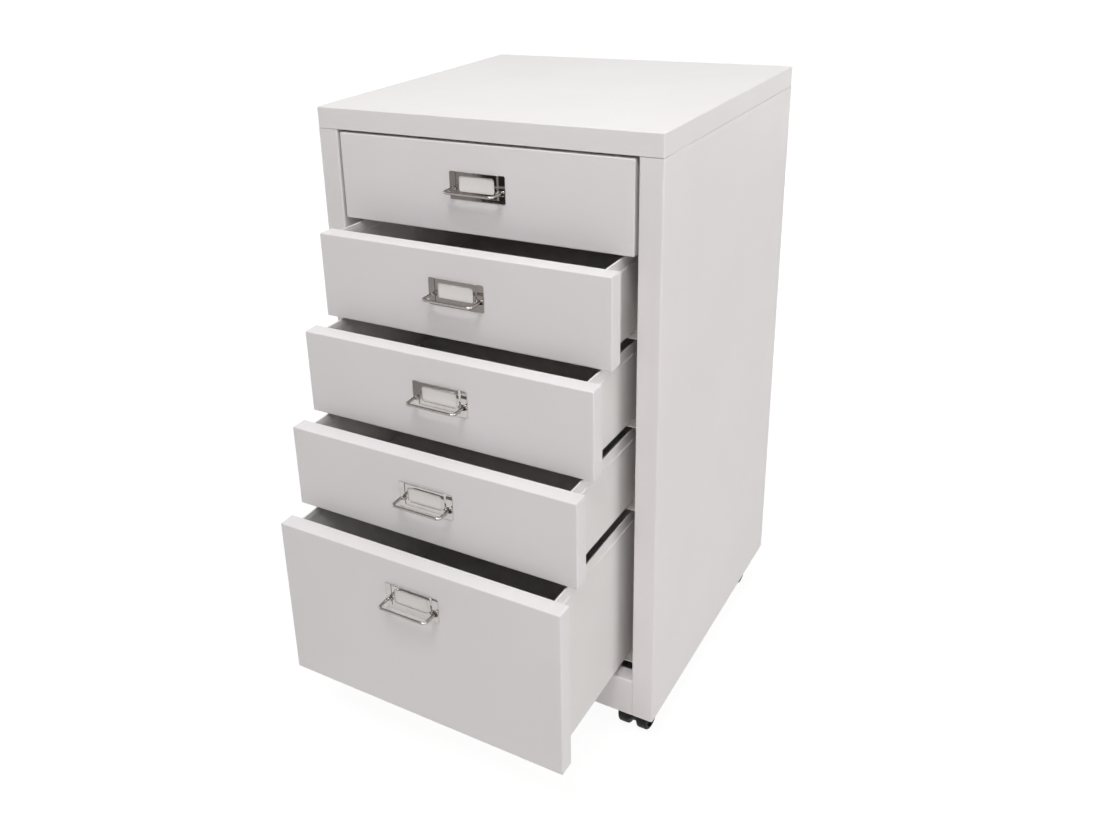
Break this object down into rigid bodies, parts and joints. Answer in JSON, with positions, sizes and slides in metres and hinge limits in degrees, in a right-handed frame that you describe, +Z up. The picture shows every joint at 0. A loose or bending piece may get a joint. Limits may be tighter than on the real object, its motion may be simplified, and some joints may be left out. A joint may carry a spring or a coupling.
{
  "type": "drawer cabinet",
  "caption": "Low sheet-metal cabinet on swivel castors, with shallow drawers over one deep drawer, each with a wire bail pull and a label holder.",
  "frame": {"origin": "on the floor, halfway across the cabinet and halfway between its back and the pull of the drawer that stands furthest out", "axes": "+Z up, +Y to the back of the cabinet, +X to the right as one faces the drawers"},
  "size_m": [0.384, 0.556, 0.684],
  "materials": {
    "body_paint": "fine textured powder coat",
    "front_paint": "fine textured powder coat",
    "tray_paint": "smooth powder coat",
    "galvanised_steel": "galvanised sheet",
    "screw_steel": "zinc plated",
    "pull_chrome": "bright chrome plate",
    "label_card": "plain white card",
    "castor_steel": "zinc plated",
    "castor_hood": "moulded black nylon",
    "castor_wheel": "moulded black nylon"
  },
  "bodies": {
    "cabinet": {"top_panel": "body_paint", "back_panel": "body_paint", "floor_panel": "body_paint", "plinth_rail": "body_paint", "side_panel_left": "body_paint", "side_panel_right": "body_paint", "rear_post_left": "galvanised_steel", "rear_post_right": "galvanised_steel", "runners_left": "galvanised_steel", "runners_right": "galvanised_steel", "body_screws": "screw_steel", "castor_screws": "screw_steel", "castor_front_left_plate": "castor_steel", "castor_front_right_plate": "castor_steel", "castor_rear_left_plate": "castor_steel", "castor_rear_right_plate": "castor_steel"},
    "drawer_1": {"drawer_1_front": "front_paint", "drawer_1_tray": "tray_paint", "drawer_1_pull_plate": "pull_chrome", "drawer_1_label_card": "label_card"},
    "bail_1": {"drawer_1_bail": "pull_chrome"},
    "drawer_2": {"drawer_2_front": "front_paint", "drawer_2_tray": "tray_paint", "drawer_2_pull_plate": "pull_chrome", "drawer_2_label_card": "label_card"},
    "bail_2": {"drawer_2_bail": "pull_chrome"},
    "drawer_3": {"drawer_3_front": "front_paint", "drawer_3_tray": "tray_paint", "drawer_3_pull_plate": "pull_chrome", "drawer_3_label_card": "label_card"},
    "bail_3": {"drawer_3_bail": "pull_chrome"},
    "drawer_4": {"drawer_4_front": "front_paint", "drawer_4_tray": "tray_paint", "drawer_4_pull_plate": "pull_chrome", "drawer_4_label_card": "label_card"},
    "bail_4": {"drawer_4_bail": "pull_chrome"},
    "drawer_5": {"drawer_5_front": "front_paint", "drawer_5_tray": "tray_paint", "drawer_5_pull_plate": "pull_chrome", "drawer_5_label_card": "label_card"},
    "bail_5": {"drawer_5_bail": "pull_chrome"},
    "castor_front_left": {"castor_front_left_hood": "castor_hood", "castor_front_left_axle": "castor_steel"},
    "wheel_front_left_left": {"castor_front_left_wheel_left": "castor_wheel"},
    "wheel_front_left_right": {"castor_front_left_wheel_right": "castor_wheel"},
    "castor_front_right": {"castor_front_right_hood": "castor_hood", "castor_front_right_axle": "castor_steel"},
    "wheel_front_right_left": {"castor_front_right_wheel_left": "castor_wheel"},
    "wheel_front_right_right": {"castor_front_right_wheel_right": "castor_wheel"},
    "castor_rear_left": {"castor_rear_left_hood": "castor_hood", "castor_rear_left_axle": "castor_steel"},
    "wheel_rear_left_left": {"castor_rear_left_wheel_left": "castor_wheel"},
    "wheel_rear_left_right": {"castor_rear_left_wheel_right": "castor_wheel"},
    "castor_rear_right": {"castor_rear_right_hood": "castor_hood", "castor_rear_right_axle": "castor_steel"},
    "wheel_rear_right_left": {"castor_rear_right_wheel_left": "castor_wheel"},
    "wheel_rear_right_right": {"castor_rear_right_wheel_right": "castor_wheel"}
  },
  "joints": [
    {"name": "drawer_1_slide", "type": "slide", "parent": "cabinet", "child": "drawer_1", "axis": [0, -1, 0], "range_m": [0, 0.285]},
    {"name": "bail_1_swing", "type": "hinge", "parent": "drawer_1", "child": "bail_1", "pos_m": [0, -0.1045, 0.614], "axis": [-1, 0, 0], "range_deg": [0, 86]},
    {"name": "drawer_2_slide", "type": "slide", "parent": "cabinet", "child": "drawer_2", "axis": [0, -1, 0], "range_m": [-0.047, 0.238]},
    {"name": "bail_2_swing", "type": "hinge", "parent": "drawer_2", "child": "bail_2", "pos_m": [0, -0.1515, 0.519], "axis": [-1, 0, 0], "range_deg": [0, 86]},
    {"name": "drawer_3_slide", "type": "slide", "parent": "cabinet", "child": "drawer_3", "axis": [0, -1, 0], "range_m": [-0.085, 0.2]},
    {"name": "bail_3_swing", "type": "hinge", "parent": "drawer_3", "child": "bail_3", "pos_m": [0, -0.1895, 0.424], "axis": [-1, 0, 0], "range_deg": [0, 86]},
    {"name": "drawer_4_slide", "type": "slide", "parent": "cabinet", "child": "drawer_4", "axis": [0, -1, 0], "range_m": [-0.12, 0.165]},
    {"name": "bail_4_swing", "type": "hinge", "parent": "drawer_4", "child": "bail_4", "pos_m": [0, -0.2245, 0.329], "axis": [-1, 0, 0], "range_deg": [0, 86]},
    {"name": "drawer_5_slide", "type": "slide", "parent": "cabinet", "child": "drawer_5", "axis": [0, -1, 0], "range_m": [-0.155, 0.13]},
    {"name": "bail_5_swing", "type": "hinge", "parent": "drawer_5", "child": "bail_5", "pos_m": [0, -0.2595, 0.2315], "axis": [-1, 0, 0], "range_deg": [0, 86]},
    {"name": "castor_front_left_swivel", "type": "hinge", "parent": "cabinet", "child": "castor_front_left", "pos_m": [-0.1595, -0.073, 0.044], "axis": [0, 0, 1], "continuous": true},
    {"name": "wheel_front_left_left_spin", "type": "hinge", "parent": "castor_front_left", "child": "wheel_front_left_left", "pos_m": [-0.1595, -0.063, 0.018], "axis": [1, 0, 0], "continuous": true},
    {"name": "wheel_front_left_right_spin", "type": "hinge", "parent": "castor_front_left", "child": "wheel_front_left_right", "pos_m": [-0.1595, -0.063, 0.018], "axis": [1, 0, 0], "continuous": true},
    {"name": "castor_front_right_swivel", "type": "hinge", "parent": "cabinet", "child": "castor_front_right", "pos_m": [0.1595, -0.073, 0.044], "axis": [0, 0, 1], "continuous": true},
    {"name": "wheel_front_right_left_spin", "type": "hinge", "parent": "castor_front_right", "child": "wheel_front_right_left", "pos_m": [0.1595, -0.063, 0.018], "axis": [1, 0, 0], "continuous": true},
    {"name": "wheel_front_right_right_spin", "type": "hinge", "parent": "castor_front_right", "child": "wheel_front_right_right", "pos_m": [0.1595, -0.063, 0.018], "axis": [1, 0, 0], "continuous": true},
    {"name": "castor_rear_left_swivel", "type": "hinge", "parent": "cabinet", "child": "castor_rear_left", "pos_m": [-0.1595, 0.235, 0.044], "axis": [0, 0, 1], "continuous": true},
    {"name": "wheel_rear_left_left_spin", "type": "hinge", "parent": "castor_rear_left", "child": "wheel_rear_left_left", "pos_m": [-0.1595, 0.245, 0.018], "axis": [1, 0, 0], "continuous": true},
    {"name": "wheel_rear_left_right_spin", "type": "hinge", "parent": "castor_rear_left", "child": "wheel_rear_left_right", "pos_m": [-0.1595, 0.245, 0.018], "axis": [1, 0, 0], "continuous": true},
    {"name": "castor_rear_right_swivel", "type": "hinge", "parent": "cabinet", "child": "castor_rear_right", "pos_m": [0.1595, 0.235, 0.044], "axis": [0, 0, 1], "continuous": true},
    {"name": "wheel_rear_right_left_spin", "type": "hinge", "parent": "castor_rear_right", "child": "wheel_rear_right_left", "pos_m": [0.1595, 0.245, 0.018], "axis": [1, 0, 0], "continuous": true},
    {"name": "wheel_rear_right_right_spin", "type": "hinge", "parent": "castor_rear_right", "child": "wheel_rear_right_right", "pos_m": [0.1595, 0.245, 0.018], "axis": [1, 0, 0], "continuous": true}
  ]
}
